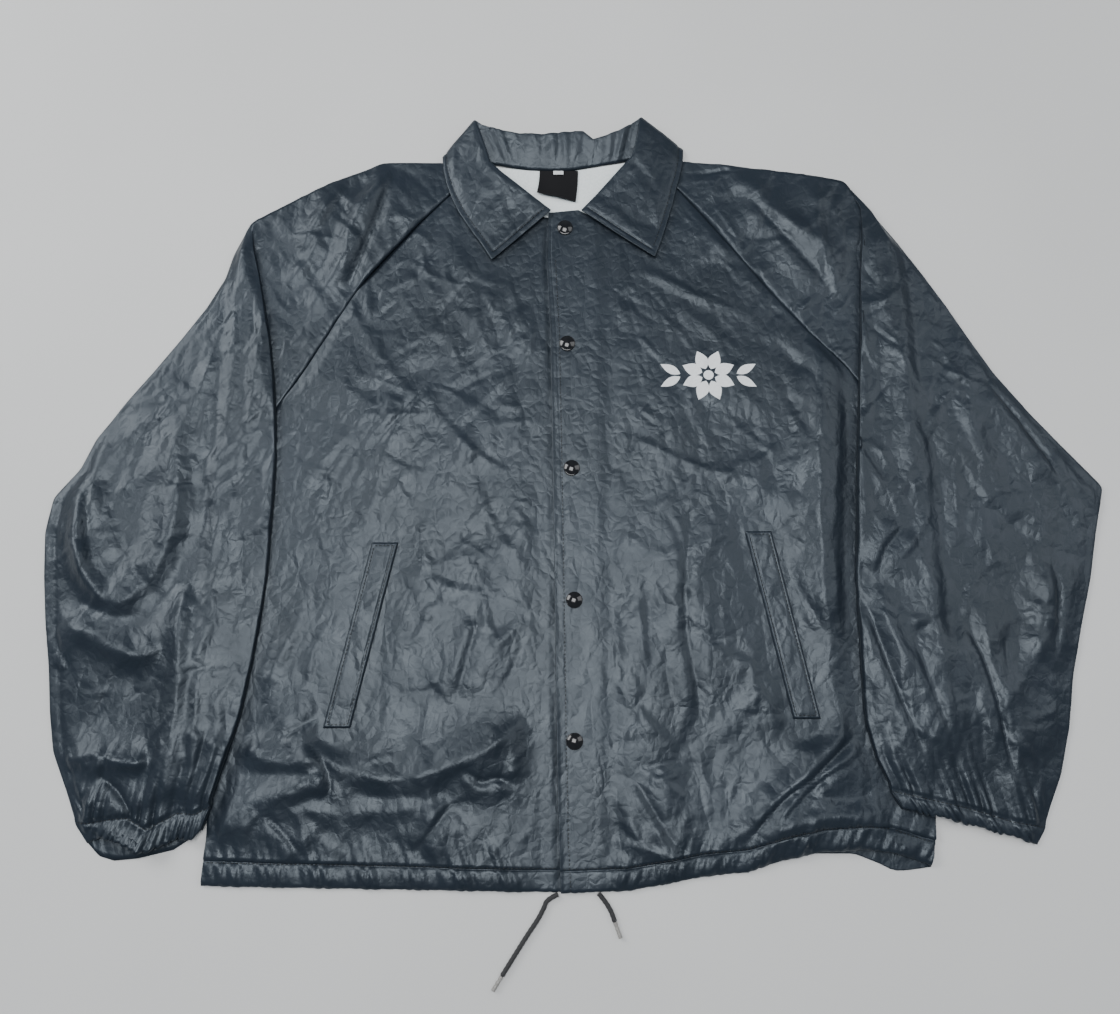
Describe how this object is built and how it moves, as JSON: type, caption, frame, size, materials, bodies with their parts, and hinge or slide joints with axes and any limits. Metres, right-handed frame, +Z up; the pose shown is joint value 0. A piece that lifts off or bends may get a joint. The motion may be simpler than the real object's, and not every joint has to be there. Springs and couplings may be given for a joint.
{
  "type": "coach jacket laid flat",
  "caption": "Snap-front nylon coach jacket laid flat on its back, sleeves folded down at its sides, open shirt collar, slanted welt pockets, elastic cuffs and a drawstring hem.",
  "frame": {"origin": "on the floor, at the middle of the cloth's bounding box, leaving out the free ends of the drawstring", "axes": "+X across the jacket towards the wearer's left sleeve, +Y from the hem to the collar, +Z up from the floor the jacket lies on"},
  "size_m": [0.974, 0.811, 0.0156],
  "materials": {
    "shell": "black nylon taffeta, semi-gloss, finely crumpled",
    "lining": "white brushed knit",
    "label": "plain black woven tape",
    "snap": "gloss black lacquer",
    "cord": "black braided polyester",
    "cord_tip": "clear, slightly grey film"
  },
  "bodies": {
    "root": {"back": "shell", "front_right": "shell", "front_left": "shell", "sleeve_front_right": "shell", "sleeve_front_left": "shell", "sleeve_back_right": "shell", "sleeve_back_left": "shell", "collar": "shell", "welt_right": "shell", "welt_left": "shell", "lining": "lining", "neck_label": "label", "size_tab": "lining", "snap_1": "snap", "snap_2": "snap", "snap_3": "snap", "snap_4": "snap", "snap_5": "snap", "drawstring_right": "cord", "drawstring_left": "cord", "cord_tip_right": "cord_tip", "cord_tip_left": "cord_tip"}
  },
  "joints": []
}
